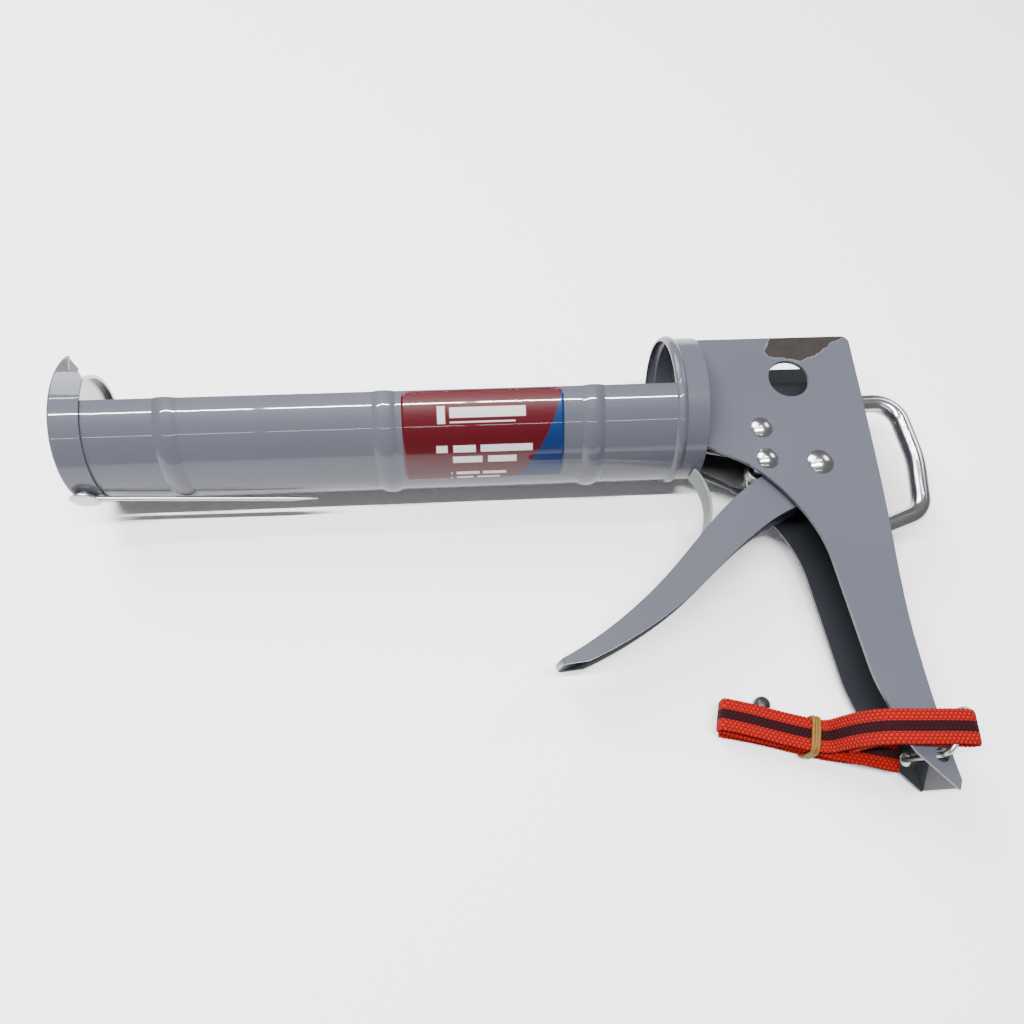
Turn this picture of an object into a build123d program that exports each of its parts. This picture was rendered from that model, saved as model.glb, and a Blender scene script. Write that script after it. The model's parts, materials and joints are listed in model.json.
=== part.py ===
from build123d import *
import os
from math import asin, atan2, cos, degrees, hypot, radians, sin, sqrt, tan

# Half-barrel caulking gun, lying on its side.
# The gun is modelled in its own frame: X along the barrel axis with the front at -X and the
# rear face of the ring at x = 0, Y away from the handle, Z towards the side that faces up.
# It is then rolled about the barrel axis until its beads and the lanyard ring touch the surface.

# ---- Driving dimensions, mm ----
# Barrel
CRADLE_LENGTH = 228.6
BARREL_RADIUS = 27.05
BARREL_SHEET = 0.8
CRADLE_ARC = 165.0
RING_LENGTH = 11.8
BEAD_PLACES = tuple(-CRADLE_LENGTH * share for share in (0.830, 0.5035, 0.1815))
BEAD_HALF_WIDTH = 4.0
RING_BEAD_HALF_WIDTH = 1.9
BEAD_HEIGHT = 1.0

# Front cap
CAP_SHEET = 0.75
CAP_PLATE = 1.0
CAP_DEPTH = 10.8
CAP_TOP = 18.0
CAP_STEP_HEIGHT = 7.7
NOZZLE_SLOT_RADIUS = 12.5

# Back plate and hollow rivet
BACK_PLATE_THICKNESS = 1.2
NUT_RADIUS = 6.0
NUT_HEAD_RADIUS = 9.0
NUT_HEAD_THICKNESS = 2.0
NUT_FLARE_RADIUS = 8.0
NUT_FLARE_THICKNESS = 1.5

# Label
LABEL_FRONT = -0.4768 * CRADLE_LENGTH
LABEL_LENGTH = 0.2485 * CRADLE_LENGTH
LABEL_THICKNESS = 0.15
LABEL_ARC = 76.0

# Seal punch
PUNCH_PIVOT_X = -CRADLE_LENGTH + 4.6
PUNCH_PIVOT_Z = 1.4
PUNCH_WIRE = 1.8
PUNCH_EYE_RADIUS = 3.4
PUNCH_LENGTH = 81.5
PUNCH_POINT = 9.5
PUNCH_REST_TURN = 5.6
PUNCH_HEAD_RADIUS = 5.2
PUNCH_HEAD_HEIGHT = 1.5

# Housing
HOUSING_HALF_WIDTH = 12.5
HOUSING_SHEET = 1.5
HOUSING_BEND = 2.6
HOUSING_FRONT = 0.5
HOUSING_TOP = 23.1
HOUSING_BACK = 62.2
HOUSING_CORNER = 3.0
HANDLE_FOOT = -143.4
SLOPE_START = (HOUSING_FRONT, -22.0)
TOE = (52.4, -131.5)
BACK_FOOT = (HOUSING_BACK + 2.4, -140.5)
CUTTER_HOLE = (35.6, 5.06)
CUTTER_HOLE_RADIUS = 7.65
LANYARD_HOLE = (60.3, -132.7)
LANYARD_HOLE_RADIUS = 2.25

# Bracket and rivets
BRACKET_SHEET = 1.5
BRACKET_TOP = 20.0
UPPER_RIVET = (21.8, -15.1)
LOWER_RIVET = (21.9, -27.6)
RIVET_RADIUS = 2.5
RIVET_HEAD_RADIUS = 4.12
RIVET_HEAD_HEIGHT = 1.7
TRIGGER_PIVOT = (41.2, -29.7)
TRIGGER_RIVET_RADIUS = 3.0
TRIGGER_HEAD_RADIUS = 4.81
TRIGGER_HEAD_HEIGHT = 1.9
BUSH_RADIUS = 5.0
BUSH_HEAD_RADIUS = 7.0
BUSH_HEAD_THICKNESS = 1.2

# Trigger
TRIGGER_HALF_WIDTH = HOUSING_HALF_WIDTH - HOUSING_SHEET - 2.0
TRIGGER_SHEET = 1.5
TRIGGER_BEND = 2.6
TRIGGER_BOSS_RADIUS = 7.0
TRIGGER_TOP = (18.5, -34.0)
TRIGGER_THROAT = (30.7, -45.3)
TRIGGER_TIP = (-59.4, -96.5)
TIP_SLOPE = (0.87, 0.49)
TIP_ROUNDING = 2.4
WEB_START = 17.0
PAWL_ARM = 18.0
PAWL_ARM_ANGLE = 79.0
PAWL_PIN_RADIUS = 1.8
PAWL_HALF_WIDTH = 2.5
STRIP_HALF_WIDTH = 4.7
STRIP_SHEET = 1.0
BLADE_THICKNESS = 1.0
BLADE_ANGLES = (64.0, 84.0)
SPRING_WIRE = 1.2
PAWL_SPRING_WIRE = 0.7

# Rod and plunger
ROD_RADIUS = 3.5
TOOTH_PITCH = 6.0
TOOTH_DEPTH = 1.3
TEETH_FRONT = -CRADLE_LENGTH + 16.6
TEETH_REAR = 70.0
TENON_RADIUS = 2.5
NUT_WIDTH = 8.0
NUT_THICKNESS = 1.7
PLUNGER_RADIUS = 19.5
PLUNGER_SHEET = 1.2
PLUNGER_DEPTH = 3.2
WASHER_RADIUS = 8.0

# Lanyard and strap
LANYARD_WIRE = 1.8
LANYARD_ANGLE = 50.0
LANYARD_REACH = 18.0
LANYARD_NEAR = HOUSING_HALF_WIDTH + 4.3
STRAP_WIDTH = 11.0
STRAP_THICKNESS = 1.2
LOOP_PLACE = (31.4, -123.0, 0)
LOOP_TURN = -5.5
HANK_PLACE = (-6.0, -113.0, 0)
HANK_TURN = -15.3
HANK_LENGTH = 64.5
HANK_HEIGHT = 11.9
LOOP_FOOT = 10.6
LOOP_RISE = 20.33
BAND_AT = 34.5
BAND_WIDTH = 2.8
BAND_WALL = 0.75
TOGGLE_AT = 18.4
TOGGLE_RADIUS = 2.9
TOGGLE_HEIGHT = 5.6

# Clearances
RUNNING = 0.05
APART = 0.3

RING_INSIDE = BARREL_RADIUS - BARREL_SHEET
CAP_RADIUS = BARREL_RADIUS + CAP_SHEET
CAP_INNER_FACE = -CRADLE_LENGTH + CAP_PLATE
LYING_RADIUS = max(CAP_RADIUS, BARREL_RADIUS + BEAD_HEIGHT)
HOUSING_INSIDE = HOUSING_HALF_WIDTH - HOUSING_SHEET
TRIGGER_INSIDE = TRIGGER_HALF_WIDTH - TRIGGER_SHEET
ROD_BORE = ROD_RADIUS + RUNNING
LANYARD_FAR = HOUSING_HALF_WIDTH + LANYARD_WIRE / 2 + RUNNING
PLUNGER_FRONT = CAP_INNER_FACE + 0.8
ROD_SHOULDER = PLUNGER_FRONT + PLUNGER_SHEET + 0.1
TENON_FRONT = PLUNGER_FRONT - NUT_THICKNESS
THROUGH = 20.0


# ---- Shared shapes ----
def rod_x(radius, start, end):
    return Pos((start + end) / 2, 0, 0) * Rot(0, 90, 0) * Cylinder(radius, abs(end - start))


def rod_y(radius, start, end, x, z):
    return Pos(x, (start + end) / 2, z) * Rot(90, 0, 0) * Cylinder(radius, abs(end - start))


def rod_z(radius, start, end, place):
    return Pos(place[0], place[1], (start + end) / 2) * Cylinder(radius, abs(end - start))


def through(radius, place):
    """Round hole right across the gun."""
    return rod_z(radius, -THROUGH, THROUGH, place)


def block(x0, x1, y0, y1, z0, z1):
    return Pos((x0 + x1) / 2, (y0 + y1) / 2, (z0 + z1) / 2) * Box(x1 - x0, y1 - y0, z1 - z0)


def face_of(*curves):
    return make_face([edge for curve in curves for edge in curve.edges()])


def slab(face, bottom, top):
    return Pos(0, 0, bottom) * extrude(face, top - bottom, dir=(0, 0, 1))


def both_sides(face, inner, outer):
    return slab(face, inner, outer) + slab(face, -outer, -inner)


def polar(centre, radius, angle):
    return (centre[0] + radius * cos(radians(angle)), centre[1] + radius * sin(radians(angle)))


def disc_face(centre, radius):
    return Pos(centre[0], centre[1], 0) * Circle(radius)


def hull_of(*circles):
    return make_hull([edge for centre, radius in circles for edge in disc_face(centre, radius).edges()])


def dome(radius, height):
    sphere = (radius * radius + height * height) / (2 * height)
    return (Pos(0, 0, height - sphere) * Sphere(sphere)) & (Pos(0, 0, height / 2) * Cylinder(radius + 1, height))


def cross_rivet(place, shank, head, height):
    top = Pos(place[0], place[1], HOUSING_HALF_WIDTH) * dome(head, height)
    bottom = Pos(place[0], place[1], -HOUSING_HALF_WIDTH) * Rot(180, 0, 0) * dome(head, height)
    return rod_z(shank, -HOUSING_HALF_WIDTH, HOUSING_HALF_WIDTH, place) + top + bottom


def coil(place, inner, wire, start, turns):
    """Close-wound coil along Z: wire sections side by side, turned about the coil's axis."""
    pitch = wire * 0.9
    sections = Circle(wire / 2)
    for turn in range(1, turns):
        sections += Pos(0, turn * pitch) * Circle(wire / 2)
    ring = revolve(Rot(90, 0, 0) * (Pos(inner + wire / 2, 0) * sections), Axis.Z)
    return Pos(place[0], place[1], start + wire / 2) * ring


def bent_channel(outer, inner, half_width, sheet, bend, on_web):
    """One sheet folded to a U: the outer outline less the inner one, with rounded folds."""
    def rounded(face, half, radius):
        body = extrude(face, half, both=True)
        web = body.faces().sort_by_distance(on_web)[0]
        folds = web.edges().filter_by(lambda edge: abs(abs(edge.center().Z) - half) < 0.01)
        return fillet(folds, radius)
    return rounded(outer, half_width, bend) - rounded(inner, half_width - sheet, bend - sheet)


# ---- Barrel group ----
def beaded_wall(start, end, beads, half_width):
    """Section of the rolled sheet with pressed beads, above the barrel axis."""
    def edge_line(radius):
        curves = []
        x = start
        for bead in beads:
            curves.append(Line((x, radius), (bead - half_width, radius)))
            curves.append(ThreePointArc((bead - half_width, radius), (bead, radius + BEAD_HEIGHT),
                                        (bead + half_width, radius)))
            x = bead + half_width
        curves.append(Line((x, radius), (end, radius)))
        return curves
    sides = [Line((x, RING_INSIDE), (x, BARREL_RADIUS)) for x in (start, end)]
    return face_of(*edge_line(BARREL_RADIUS), *edge_line(RING_INSIDE), *sides)


def punch_hole():
    return rod_y(PUNCH_EYE_RADIUS - PUNCH_WIRE / 2 - RUNNING, -CAP_RADIUS - 5, -RING_INSIDE + 5,
                 PUNCH_PIVOT_X, PUNCH_PIVOT_Z)


def barrel():
    wall = beaded_wall(CAP_INNER_FACE, -RING_LENGTH, BEAD_PLACES, BEAD_HALF_WIDTH)
    cradle = Rot(180 - CRADLE_ARC / 2, 0, 0) * revolve(wall, Axis.X, CRADLE_ARC)
    ring_bead = -RING_LENGTH + RING_BEAD_HALF_WIDTH + 0.1
    ring = revolve(beaded_wall(-RING_LENGTH, 0, (ring_bead,), RING_BEAD_HALF_WIDTH), Axis.X)
    return cradle + ring - punch_hole()


def front_cap():
    front = -CRADLE_LENGTH
    rim = front + CAP_DEPTH
    corner = CAP_SHEET + 0.3
    section = face_of(Line((front, 0), (CAP_INNER_FACE, 0)),
                      Line((CAP_INNER_FACE, 0), (CAP_INNER_FACE, BARREL_RADIUS)),
                      Line((CAP_INNER_FACE, BARREL_RADIUS), (rim, BARREL_RADIUS)),
                      Line((rim, BARREL_RADIUS), (rim, CAP_RADIUS)),
                      Line((rim, CAP_RADIUS), (front + corner, CAP_RADIUS)),
                      ThreePointArc((front + corner, CAP_RADIUS),
                                    (front + 0.29 * corner, CAP_RADIUS - 0.29 * corner),
                                    (front, CAP_RADIUS - corner)),
                      Line((front, CAP_RADIUS - corner), (front, 0)))
    cup = revolve(section, Axis.X)
    step_end = (front + 4.6, CAP_STEP_HEIGHT + 2.7)
    horn = (front + 1.6, CAP_TOP)
    past, above = rim + 2, CAP_RADIUS + 5
    slope_foot = (past, CAP_STEP_HEIGHT - 7)
    cut = face_of(Line(slope_foot, (rim - 1.8, CAP_STEP_HEIGHT)),
                  ThreePointArc((rim - 1.8, CAP_STEP_HEIGHT), (front + 5.6, CAP_STEP_HEIGHT + 0.9), step_end),
                  Line(step_end, horn), Line(horn, (front - 2, CAP_TOP)),
                  Line((front - 2, CAP_TOP), (front - 2, above)),
                  Line((front - 2, above), (past, above)), Line((past, above), slope_foot))
    slot = block(front - 1, CAP_INNER_FACE + 1, 0, CAP_RADIUS + 1, -NOZZLE_SLOT_RADIUS, NOZZLE_SLOT_RADIUS)
    slot += rod_x(NOZZLE_SLOT_RADIUS, front - 1, CAP_INNER_FACE + 1)
    return cup - slab(cut, -above, above) - slot - punch_hole()


def barrel_back_plate():
    return rod_x(RING_INSIDE, -BACK_PLATE_THICKNESS, 0) - rod_x(NUT_RADIUS, -BACK_PLATE_THICKNESS - 1, 1)


def barrel_nut():
    head = -BACK_PLATE_THICKNESS
    body = rod_x(NUT_RADIUS, head, BRACKET_SHEET)
    body += rod_x(NUT_HEAD_RADIUS, head - NUT_HEAD_THICKNESS, head)
    body += rod_x(NUT_FLARE_RADIUS, BRACKET_SHEET, BRACKET_SHEET + NUT_FLARE_THICKNESS)
    return body - rod_x(ROD_BORE, head - NUT_HEAD_THICKNESS - 1, BRACKET_SHEET + NUT_FLARE_THICKNESS + 1)


def label():
    middle = LABEL_FRONT + LABEL_LENGTH / 2
    strip = Pos(middle, BARREL_RADIUS + LABEL_THICKNESS / 2) * Rectangle(LABEL_LENGTH, LABEL_THICKNESS)
    return Rot(181 - CRADLE_ARC / 2, 0, 0) * revolve(strip, Axis.X, LABEL_ARC)


def punch_height():
    return -CAP_RADIUS - APART - PUNCH_WIRE / 2


def punch_rivet():
    shank = PUNCH_EYE_RADIUS - PUNCH_WIRE / 2 - RUNNING
    under = punch_height() - PUNCH_WIRE / 2 - RUNNING
    flange = shank + 0.9
    inner_seat = -sqrt(RING_INSIDE ** 2 - (flange + PUNCH_PIVOT_Z) ** 2)
    body = rod_y(shank, under, inner_seat, PUNCH_PIVOT_X, PUNCH_PIVOT_Z)
    body += rod_y(flange, inner_seat, inner_seat + 1, PUNCH_PIVOT_X, PUNCH_PIVOT_Z)
    head = Pos(PUNCH_PIVOT_X, under, PUNCH_PIVOT_Z) * Rot(90, 0, 0) * dome(PUNCH_HEAD_RADIUS, PUNCH_HEAD_HEIGHT)
    return body + head


def seal_punch():
    shaft = PUNCH_LENGTH - PUNCH_POINT
    wire = Rot(90, 0, 0) * Torus(PUNCH_EYE_RADIUS, PUNCH_WIRE / 2)
    wire += rod_x(PUNCH_WIRE / 2, PUNCH_EYE_RADIUS, shaft)
    wire += Pos(shaft + PUNCH_POINT / 2, 0, 0) * Rot(0, 90, 0) * Cone(PUNCH_WIRE / 2, 0.15, PUNCH_POINT)
    return Pos(PUNCH_PIVOT_X, punch_height(), PUNCH_PIVOT_Z) * Rot(0, PUNCH_REST_TURN, 0) * wire


# ---- Housing group ----
def back_curve(shift):
    """Back edge of the side plates, from the top corner to the foot."""
    points = [(HOUSING_BACK, HOUSING_TOP), (HOUSING_BACK, -3), (HOUSING_BACK - 0.9, -55),
              (HOUSING_BACK - 2, -84), (HOUSING_BACK - 0.8, -112), BACK_FOOT]
    return Spline([(x - shift, y) for x, y in points], tangents=[(0, -1), (0.15, -1)])


def front_curves():
    """Front edge of the side plates below the ring: a slope, a round throat and the grip."""
    throat_top = (15.0, -29.7)
    throat_foot = (38.2, -67.0)
    grip_end = (43.2, -104.0)
    slope = Line(SLOPE_START, throat_top)
    throat = Spline([throat_top, (29.7, -45.8), throat_foot], tangents=[(1.25, -1), (0.2, -1.4)])
    grip = Line(throat_foot, grip_end)
    toe = Spline([grip_end, (47.3, -118.5), TOE], tangents=[(0.2, -1.4), (0.6, -1)])
    return [slope, throat, grip, toe]


def housing_holes():
    holes = through(CUTTER_HOLE_RADIUS, CUTTER_HOLE) + through(LANYARD_HOLE_RADIUS, LANYARD_HOLE)
    for place in (UPPER_RIVET, LOWER_RIVET):
        holes += through(RIVET_RADIUS, place)
    holes += through(TRIGGER_RIVET_RADIUS, TRIGGER_PIVOT)
    return holes + rod_x(BUSH_RADIUS, HOUSING_BACK - 5, HOUSING_BACK + 5)


def housing():
    heel = (HOUSING_BACK + 1.2, HANDLE_FOOT)
    outer = face_of(Line(SLOPE_START, (HOUSING_FRONT, HOUSING_TOP)),
                    Line((HOUSING_FRONT, HOUSING_TOP), (HOUSING_BACK, HOUSING_TOP)),
                    back_curve(0), Line(BACK_FOOT, heel), Line(heel, TOE), *front_curves())
    sheet = HOUSING_SHEET
    inner_foot = (BACK_FOOT[0] - sheet, BACK_FOOT[1])
    past, below = HOUSING_FRONT - 5.5, HANDLE_FOOT - 8
    inner = face_of(Line((past, HOUSING_TOP), (HOUSING_BACK - sheet, HOUSING_TOP)), back_curve(sheet),
                    Line(inner_foot, (inner_foot[0] + 2, below)), Line((inner_foot[0] + 2, below), (past, below)),
                    Line((past, below), (past, HOUSING_TOP)))
    body = bent_channel(outer, inner, HOUSING_HALF_WIDTH, sheet, HOUSING_BEND, (HOUSING_BACK, -40, 0))
    radius = HOUSING_CORNER
    corner = block(HOUSING_BACK - radius, HOUSING_BACK + 1, HOUSING_TOP - radius, HOUSING_TOP + 1, -THROUGH, THROUGH)
    corner -= through(radius, (HOUSING_BACK - radius, HOUSING_TOP - radius))
    return body - corner - housing_holes()


def front_bracket():
    half = HOUSING_INSIDE - RUNNING
    wall = block(0, BRACKET_SHEET, -BRACKET_TOP, BRACKET_TOP, -half, half)
    flange = face_of(Polyline((0, BRACKET_TOP), (12, BRACKET_TOP), (12, -8), (27, -8), (27, -33), (17, -30),
                              (0, -BRACKET_TOP), close=True))
    body = wall + both_sides(flange, half - BRACKET_SHEET, half) - rod_x(NUT_RADIUS, -1, BRACKET_SHEET + 1)
    return body - through(RIVET_RADIUS, UPPER_RIVET) - through(RIVET_RADIUS, LOWER_RIVET)


def trigger_washers():
    inner = TRIGGER_HALF_WIDTH + APART
    near = rod_z(TRIGGER_BOSS_RADIUS, inner + BLADE_THICKNESS, HOUSING_INSIDE, TRIGGER_PIVOT)
    far = rod_z(TRIGGER_BOSS_RADIUS, -HOUSING_INSIDE, -inner, TRIGGER_PIVOT)
    return near + far - through(TRIGGER_RIVET_RADIUS, TRIGGER_PIVOT)


def rear_bush():
    seat_slack = 0.12
    inner = HOUSING_BACK - HOUSING_SHEET - seat_slack
    outer = HOUSING_BACK + seat_slack
    body = rod_x(BUSH_RADIUS, inner, outer)
    body += rod_x(BUSH_HEAD_RADIUS, inner - BUSH_HEAD_THICKNESS, inner)
    body += rod_x(BUSH_HEAD_RADIUS, outer, outer + BUSH_HEAD_THICKNESS)
    return body - rod_x(ROD_BORE, inner - 5, outer + 5)


def wire_leg(start, end, wire):
    """Straight round leg between two points."""
    path = Line(start, end)
    return sweep((path ^ 0) * Circle(wire / 2), path=path)


def return_spring():
    inner = RIVET_RADIUS + 0.7
    turns = 5
    mean = inner + SPRING_WIRE / 2
    x, y = LOWER_RIVET
    side = 2.16
    body = coil(LOWER_RIVET, inner, SPRING_WIRE, -side - SPRING_WIRE / 2, turns)
    body += wire_leg((x, y + mean, side), (BRACKET_SHEET + APART, -19.2, side), SPRING_WIRE)
    body += wire_leg((x - mean, y, -side), (WEB_START + 1.6, -36.2, -side), SPRING_WIRE)
    return body


def pawl(pivot, boss, tip, tip_radius, pin_radius):
    face = hull_of((pivot, boss), (tip, tip_radius))
    return slab(face, -PAWL_HALF_WIDTH, PAWL_HALF_WIDTH) - through(pin_radius + RUNNING, pivot)


def stop_pawl():
    return pawl(UPPER_RIVET, 4.5, (10.6, -ROD_RADIUS - 1.8), 1.4, RIVET_RADIUS)


def stop_pawl_spring():
    return coil(UPPER_RIVET, RIVET_RADIUS + 0.2, PAWL_SPRING_WIRE, PAWL_HALF_WIDTH + APART, 4)


# ---- Trigger group ----
def pin_place():
    return polar(TRIGGER_PIVOT, PAWL_ARM, PAWL_ARM_ANGLE)


def trigger_front(shift_x, shift_y):
    points = [TRIGGER_TOP, (-1.1, -49.9), (-19.5, -68.8), (-33.2, -80.5), TRIGGER_TIP]
    return Spline([(x + shift_x, y + shift_y) for x, y in points])


def tip_corners():
    """What is left of a square end when the trigger's tip is rounded across its width."""
    half = TRIGGER_HALF_WIDTH
    past = 3.0
    centre = Pos(-TIP_ROUNDING, 0)
    square = Pos((past - TIP_ROUNDING) / 2, 0) * Rectangle(TIP_ROUNDING + past, 2 * half + 2)
    nose = centre * Ellipse(TIP_ROUNDING, half + 0.01)
    end = Plane(origin=(*TRIGGER_TIP, 0), x_dir=(-TIP_SLOPE[0], -TIP_SLOPE[1], 0),
                z_dir=(-TIP_SLOPE[1], TIP_SLOPE[0], 0))
    return extrude(end * (square - nose), 12, both=True)


def trigger():
    heel = (-48.9, -96.9)
    lip = (TRIGGER_TIP[0] + 0.7, TRIGGER_TIP[1] - 1.3)
    outer = face_of(trigger_front(0, 0), Line(TRIGGER_TIP, lip), Line(lip, heel),
                    Spline([heel, (-31.2, -88.6), (-11.7, -76.0), (9.6, -58.1), TRIGGER_THROAT]),
                    Line(TRIGGER_THROAT, TRIGGER_TOP))
    across = (0.63 * TRIGGER_SHEET, -0.77 * TRIGGER_SHEET)
    start = (TRIGGER_TOP[0] + across[0], TRIGGER_TOP[1] + across[1])
    end = (TRIGGER_TIP[0] + across[0], TRIGGER_TIP[1] + across[1])
    past = (end[0] - 3.5, end[1] - 2.1)
    right, below = 60, -140
    inner = face_of(trigger_front(*across), Line(end, past), Line(past, (past[0], below)),
                    Line((past[0], below), (right, below)), Line((right, below), (right, start[1])),
                    Line((right, start[1]), start))
    lever = bent_channel(outer, inner, TRIGGER_HALF_WIDTH, TRIGGER_SHEET, TRIGGER_BEND, (-19.5, -68.8, 0))
    lever -= block(WEB_START, 80, -60, 0, -TRIGGER_INSIDE, TRIGGER_INSIDE)
    lever -= tip_corners()
    neck = face_of(Polyline(TRIGGER_TOP, (34, -25), (46, -36), TRIGGER_THROAT, close=True))
    arm = hull_of((TRIGGER_PIVOT, TRIGGER_BOSS_RADIUS), (pin_place(), 4.5))
    body = lever + both_sides(neck + arm, TRIGGER_INSIDE, TRIGGER_HALF_WIDTH)
    body -= through(TRIGGER_RIVET_RADIUS + RUNNING, TRIGGER_PIVOT)
    return body - through(PAWL_PIN_RADIUS, pin_place())


def finger_strip(on_trigger):
    top = -BARREL_RADIUS - 0.35

    def side(shift):
        points = [(-2.9, top), (0.6, -35.0), (1.0, -43.5), (-2.2, -52.0)]
        return Spline([(x + shift, y) for x, y in points])
    left, right = side(-STRIP_SHEET / 2), side(STRIP_SHEET / 2)
    face = face_of(left, right, Line(left @ 0, right @ 0), Line(left @ 1, right @ 1))
    body = slab(face, -STRIP_HALF_WIDTH, STRIP_HALF_WIDTH) - on_trigger
    return body.solids().sort_by(Axis.Y)[-1]


def pawl_pin():
    return rod_z(PAWL_PIN_RADIUS, -TRIGGER_HALF_WIDTH, TRIGGER_HALF_WIDTH, pin_place())


def drive_pawl():
    pivot = pin_place()
    tip = (pivot[0] - 8.0, -ROD_RADIUS - 2.63)
    return pawl(pivot, 4.0, tip, 1.3, PAWL_PIN_RADIUS)


def drive_pawl_spring():
    return coil(pin_place(), PAWL_PIN_RADIUS + 0.2, PAWL_SPRING_WIRE, PAWL_HALF_WIDTH + APART, 4)


def cutter_blade():
    distance = hypot(CUTTER_HOLE[0] - TRIGGER_PIVOT[0], CUTTER_HOLE[1] - TRIGGER_PIVOT[1])
    inner, outer = distance - CUTTER_HOLE_RADIUS - 0.5, distance + CUTTER_HOLE_RADIUS + 0.3
    first, last = BLADE_ANGLES
    middle = (first + last) / 2

    def at(radius, angle):
        return polar(TRIGGER_PIVOT, radius, angle)
    head = face_of(ThreePointArc(at(inner, first), at(inner, middle), at(inner, last)),
                   Line(at(inner, last), at(outer, last)),
                   ThreePointArc(at(outer, last), at(outer, middle), at(outer, first)),
                   Line(at(outer, first), at(inner, first)))
    stem = hull_of((TRIGGER_PIVOT, TRIGGER_BOSS_RADIUS), (at(inner, middle), 4.0))
    body = slab(head + stem, TRIGGER_HALF_WIDTH, TRIGGER_HALF_WIDTH + BLADE_THICKNESS)
    return body - through(TRIGGER_RIVET_RADIUS + APART, TRIGGER_PIVOT)


# ---- Rod group ----
def rod():
    bends = [(81.1, 0, 0), (84.3, -25.0, 0), (81.8, -46.0, 0)]
    path = FilletPolyline((ROD_SHOULDER, 0, 0), *bends, (64.5, -51.95, 0), radius=[10.0, 40.0, 9.0])
    bar = sweep((path ^ 0) * Circle(ROD_RADIUS), path=path)
    count = int((TEETH_REAR - TEETH_FRONT) / TOOTH_PITCH)
    points = [(TEETH_FRONT, -ROD_RADIUS - 1)]
    for tooth in range(count):
        x = TEETH_FRONT + tooth * TOOTH_PITCH
        points += [(x, -ROD_RADIUS + TOOTH_DEPTH), (x + TOOTH_PITCH - 0.8, -ROD_RADIUS + 0.15),
                   (x + TOOTH_PITCH, -ROD_RADIUS + 0.15)]
    points.append((TEETH_REAR, -ROD_RADIUS - 1))
    comb = face_of(Polyline(*points, close=True))
    bar -= slab(comb, -ROD_RADIUS - 1, ROD_RADIUS + 1)
    return bar + rod_x(TENON_RADIUS, TENON_FRONT, ROD_SHOULDER)


def rod_nut():
    hexagon = extrude(RegularPolygon(NUT_WIDTH / 2, 6, major_radius=False), NUT_THICKNESS - 0.1)
    nut = Pos(TENON_FRONT, 0, 0) * Rot(0, 90, 0) * hexagon
    return nut - rod_x(TENON_RADIUS, TENON_FRONT - 1, ROD_SHOULDER)


def plunger_disc():
    front, rear = PLUNGER_FRONT, PLUNGER_FRONT + PLUNGER_DEPTH
    bend, sheet = 2.0, PLUNGER_SHEET
    radius, bore = PLUNGER_RADIUS, TENON_RADIUS + RUNNING
    cut = bend * (1 - sqrt(0.5))
    section = face_of(Line((front, bore), (front, radius - bend)),
                      ThreePointArc((front, radius - bend), (front + cut, radius - cut), (front + bend, radius)),
                      Line((front + bend, radius), (rear, radius)), Line((rear, radius), (rear, radius - sheet)),
                      Line((rear, radius - sheet), (front + sheet, radius - sheet)),
                      Line((front + sheet, radius - sheet), (front + sheet, bore)),
                      Line((front + sheet, bore), (front, bore)))
    return revolve(section, Axis.X)


def plunger_washer():
    return rod_x(WASHER_RADIUS, ROD_SHOULDER + 0.1, ROD_SHOULDER + 1.1) - rod_x(ROD_RADIUS, ROD_SHOULDER - 1,
                                                                               ROD_SHOULDER + 2)


# ---- Lanyard and strap ----
def lanyard_ring():
    """Bent wire link: straight through both holes, then round behind the web."""
    near, far, reach = LANYARD_NEAR, -LANYARD_FAR, LANYARD_REACH
    along = (cos(radians(LANYARD_ANGLE)), sin(radians(LANYARD_ANGLE)))

    def place(distance, height):
        return (LANYARD_HOLE[0] + distance * along[0], LANYARD_HOLE[1] + distance * along[1], height)
    path = FilletPolyline(place(reach / 2, near), place(0, near), place(0, far), place(reach, far),
                          place(reach, near), place(reach / 2 + 0.05, near), radius=[3.6, 1.4, 6.0, 6.0])
    return sweep((path ^ 0) * Circle(LANYARD_WIRE / 2), path=path)


def roll_angle():
    """Roll that brings both the barrel's beads and the lanyard ring's far leg down to the surface."""
    foot = -LANYARD_HOLE[1] - 0.7
    below = LANYARD_FAR + LANYARD_WIRE / 2
    return degrees(asin(LYING_RADIUS / hypot(foot, below)) - atan2(below, foot))


def laid(shape):
    return Pos(0, 0, LYING_RADIUS) * Rot(roll_angle(), 0, 0) * shape


def corner_radii(points):
    """Radius of each corner: 0.45 of the shorter run over the tangent of half the turn."""
    radii = []
    for before, here, after in zip(points, points[1:], points[2:]):
        run_in = Vector(*here) - Vector(*before)
        run_out = Vector(*after) - Vector(*here)
        half_turn = radians(run_in.get_angle(run_out) / 2)
        radii.append(0.45 * min(run_in.length, run_out.length) / tan(half_turn))
    return radii


def upright(face, place, turn):
    """Stand a face up along a line on the surface and give it the strap's width."""
    body = extrude(face, STRAP_WIDTH / 2, both=True)
    return Pos(*place) * Rot(0, 0, turn) * Rot(90, 0, 0) * body


def ring_height():
    """Height of the lanyard ring's near leg over the surface."""
    roll = radians(roll_angle())
    return LYING_RADIUS + LANYARD_HOLE[1] * sin(roll) + LANYARD_NEAR * cos(roll)


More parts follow.
